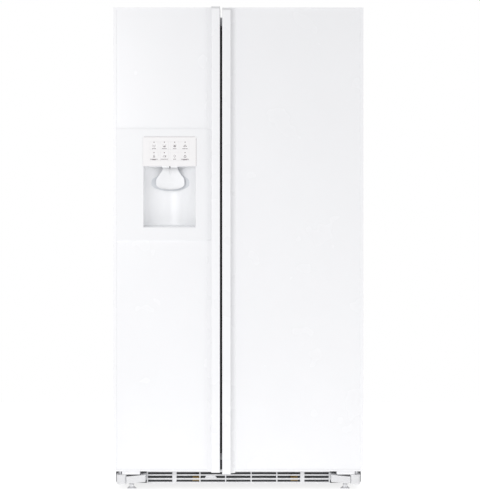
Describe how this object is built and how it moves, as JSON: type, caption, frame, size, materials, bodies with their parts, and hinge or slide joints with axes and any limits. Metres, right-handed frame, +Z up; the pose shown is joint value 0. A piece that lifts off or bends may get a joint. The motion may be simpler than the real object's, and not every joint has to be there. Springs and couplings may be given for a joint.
{
  "type": "side by side refrigerator",
  "caption": "Counter-depth side by side refrigerator with freezer door ice and water dispenser, full-height handles, hinged doors, sliding drawers and base grille.",
  "frame": {"origin": "on the floor under the middle of the whole appliance's bounding box", "axes": "+Z up; the doors face -Y; freezer door on the left at -X, fresh food door on the right at +X"},
  "size_m": [0.909, 0.716, 1.766],
  "materials": {
    "case_paint": "satin",
    "bare_steel": "satin",
    "frame_black": "satin",
    "hinge_steel": "satin",
    "pin_steel": "satin",
    "foam": "matte",
    "door_core": "matte",
    "liner_white": "gloss",
    "white_panel": "gloss",
    "white_trim": "gloss",
    "fascia_white": "satin",
    "overlay_white": "satin",
    "key_white": "matte",
    "well_white": "satin",
    "paddle_white": "gloss",
    "tray_white": "gloss",
    "seal_grey": "matte",
    "clear_plastic": "gloss",
    "basket_white": "gloss",
    "shelf_glass": "gloss",
    "ice_maker_grey": "satin",
    "black_steel": "satin",
    "fan_plastic": "matte",
    "cover_board": "matte",
    "valve_plastic": "matte",
    "roller_grey": "matte",
    "leg_white": "gloss"
  },
  "bodies": {
    "cabinet": {"cabinet_shell": "case_paint", "rear_panel": "bare_steel", "base_frame": "frame_black", "lower_hinge_brackets": "hinge_steel", "upper_hinge_brackets": "hinge_steel", "hinge_pins": "pin_steel", "insulation": "foam", "freezer_liner": "liner_white", "fresh_food_liner": "liner_white", "control_housing": "liner_white", "upper_hinge_covers": "white_trim", "lower_hinge_covers": "white_trim", "base_grille": "white_trim", "glass_shelves": "shelf_glass", "freezer_shelves": "shelf_glass", "ice_maker": "ice_maker_grey", "compressor": "black_steel", "condenser_coil": "black_steel", "condenser_fan_motor": "fan_plastic", "cord_bushing": "fan_plastic", "rear_access_cover": "cover_board", "water_valve": "valve_plastic"},
    "freezer_door": {"freezer_door_shell": "door_core", "freezer_door_liner": "liner_white", "freezer_door_gasket": "seal_grey", "freezer_door_trim": "white_trim", "freezer_door_panels": "white_panel", "freezer_door_handle": "white_trim", "freezer_door_bins": "clear_plastic", "dispenser_fascia": "fascia_white", "dispenser_overlay": "overlay_white", "dispenser_well": "well_white"},
    "fresh_food_door": {"fresh_food_door_shell": "door_core", "fresh_food_door_liner": "liner_white", "fresh_food_door_gasket": "seal_grey", "fresh_food_door_trim": "white_trim", "fresh_food_door_panel": "white_panel", "fresh_food_door_handle": "white_trim", "fresh_food_door_bins": "clear_plastic"},
    "dispenser_paddle_body": {"dispenser_paddle": "paddle_white"},
    "chute_flap_body": {"chute_flap": "paddle_white"},
    "drip_tray_body": {"drip_tray": "tray_white"},
    "dairy_flap_body": {"dairy_flap": "clear_plastic"},
    "crisper_drawer_lower_body": {"crisper_drawer_lower": "clear_plastic"},
    "crisper_drawer_upper_body": {"crisper_drawer_upper": "clear_plastic"},
    "freezer_basket_body": {"freezer_basket": "basket_white"},
    "ice_bucket_body": {"ice_bucket": "basket_white"},
    "rear_roller_left_body": {"rear_roller_left": "roller_grey"},
    "rear_roller_right_body": {"rear_roller_right": "roller_grey"},
    "levelling_leg_left_body": {"levelling_leg_left": "leg_white"},
    "levelling_leg_right_body": {"levelling_leg_right": "leg_white"},
    "condenser_fan_blade_body": {"condenser_fan_blade": "fan_plastic"},
    "key_water_body": {"key_water": "key_white"},
    "key_crushed_body": {"key_crushed": "key_white"},
    "key_cubed_body": {"key_cubed": "key_white"},
    "key_quick_ice_body": {"key_quick_ice": "key_white"},
    "key_filter_reset_body": {"key_filter_reset": "key_white"},
    "key_lock_body": {"key_lock": "key_white"},
    "key_light_body": {"key_light": "key_white"},
    "key_door_alarm_body": {"key_door_alarm": "key_white"}
  },
  "joints": [
    {"name": "freezer_door_swing", "type": "hinge", "parent": "cabinet", "child": "freezer_door", "pos_m": [-0.43, -0.3, 0.9], "axis": [0, 0, -1], "range_deg": [0, 120]},
    {"name": "fresh_food_door_swing", "type": "hinge", "parent": "cabinet", "child": "fresh_food_door", "pos_m": [0.43, -0.3, 0.9], "axis": [0, 0, 1], "range_deg": [0, 120]},
    {"name": "crisper_lower_slide", "type": "slide", "parent": "cabinet", "child": "crisper_drawer_lower_body", "axis": [0, -1, 0], "range_m": [0, 0.085]},
    {"name": "crisper_upper_slide", "type": "slide", "parent": "cabinet", "child": "crisper_drawer_upper_body", "axis": [0, -1, 0], "range_m": [0, 0.085]},
    {"name": "freezer_basket_slide", "type": "slide", "parent": "cabinet", "child": "freezer_basket_body", "axis": [0, -1, 0], "range_m": [0, 0.085]},
    {"name": "ice_bucket_slide", "type": "slide", "parent": "cabinet", "child": "ice_bucket_body", "axis": [0, -1, 0], "range_m": [0, 0.038]},
    {"name": "dairy_flap_swing", "type": "hinge", "parent": "fresh_food_door", "child": "dairy_flap_body", "pos_m": [0.189, -0.174, 1.638], "axis": [1, 0, 0], "range_deg": [0, 90]},
    {"name": "dispenser_paddle_push", "type": "hinge", "parent": "freezer_door", "child": "dispenser_paddle_body", "pos_m": [-0.25, -0.27, 1.2], "axis": [1, 0, 0], "range_deg": [0, 9], "stiffness_Nm_per_rad": 0.3},
    {"name": "chute_flap_swing", "type": "hinge", "parent": "freezer_door", "child": "chute_flap_body", "pos_m": [-0.25, -0.166, 1.3245], "axis": [1, 0, 0], "range_deg": [0, 36]},
    {"name": "drip_tray_lift", "type": "slide", "parent": "freezer_door", "child": "drip_tray_body", "axis": [0, 0, 1], "range_m": [0, 0.05]},
    {"name": "key_water_press", "type": "slide", "parent": "freezer_door", "child": "key_water_body", "axis": [0, 1, 0], "range_m": [0, 0.0008], "stiffness_N_per_m": 400},
    {"name": "key_crushed_press", "type": "slide", "parent": "freezer_door", "child": "key_crushed_body", "axis": [0, 1, 0], "range_m": [0, 0.0008], "stiffness_N_per_m": 400},
    {"name": "key_cubed_press", "type": "slide", "parent": "freezer_door", "child": "key_cubed_body", "axis": [0, 1, 0], "range_m": [0, 0.0008], "stiffness_N_per_m": 400},
    {"name": "key_quick_ice_press", "type": "slide", "parent": "freezer_door", "child": "key_quick_ice_body", "axis": [0, 1, 0], "range_m": [0, 0.0008], "stiffness_N_per_m": 400},
    {"name": "key_filter_reset_press", "type": "slide", "parent": "freezer_door", "child": "key_filter_reset_body", "axis": [0, 1, 0], "range_m": [0, 0.0008], "stiffness_N_per_m": 400},
    {"name": "key_lock_press", "type": "slide", "parent": "freezer_door", "child": "key_lock_body", "axis": [0, 1, 0], "range_m": [0, 0.0008], "stiffness_N_per_m": 400},
    {"name": "key_light_press", "type": "slide", "parent": "freezer_door", "child": "key_light_body", "axis": [0, 1, 0], "range_m": [0, 0.0008], "stiffness_N_per_m": 400},
    {"name": "key_door_alarm_press", "type": "slide", "parent": "freezer_door", "child": "key_door_alarm_body", "axis": [0, 1, 0], "range_m": [0, 0.0008], "stiffness_N_per_m": 400},
    {"name": "condenser_fan_spin", "type": "hinge", "parent": "cabinet", "child": "condenser_fan_blade_body", "pos_m": [0.04, 0.262, 0.14], "axis": [1, 0, 0], "continuous": true},
    {"name": "rear_roller_left_spin", "type": "hinge", "parent": "cabinet", "child": "rear_roller_left_body", "pos_m": [-0.38, 0.3, 0.02], "axis": [1, 0, 0], "continuous": true},
    {"name": "levelling_leg_left_turn", "type": "hinge", "parent": "cabinet", "child": "levelling_leg_left_body", "pos_m": [-0.395, -0.228, 0], "axis": [0, 0, 1], "continuous": true},
    {"name": "rear_roller_right_spin", "type": "hinge", "parent": "cabinet", "child": "rear_roller_right_body", "pos_m": [0.38, 0.3, 0.02], "axis": [1, 0, 0], "continuous": true},
    {"name": "levelling_leg_right_turn", "type": "hinge", "parent": "cabinet", "child": "levelling_leg_right_body", "pos_m": [0.395, -0.228, 0], "axis": [0, 0, 1], "continuous": true}
  ],
  "couplings": [
    {"joint": "chute_flap_swing", "follows": "dispenser_paddle_push", "ratio": 4}
  ]
}
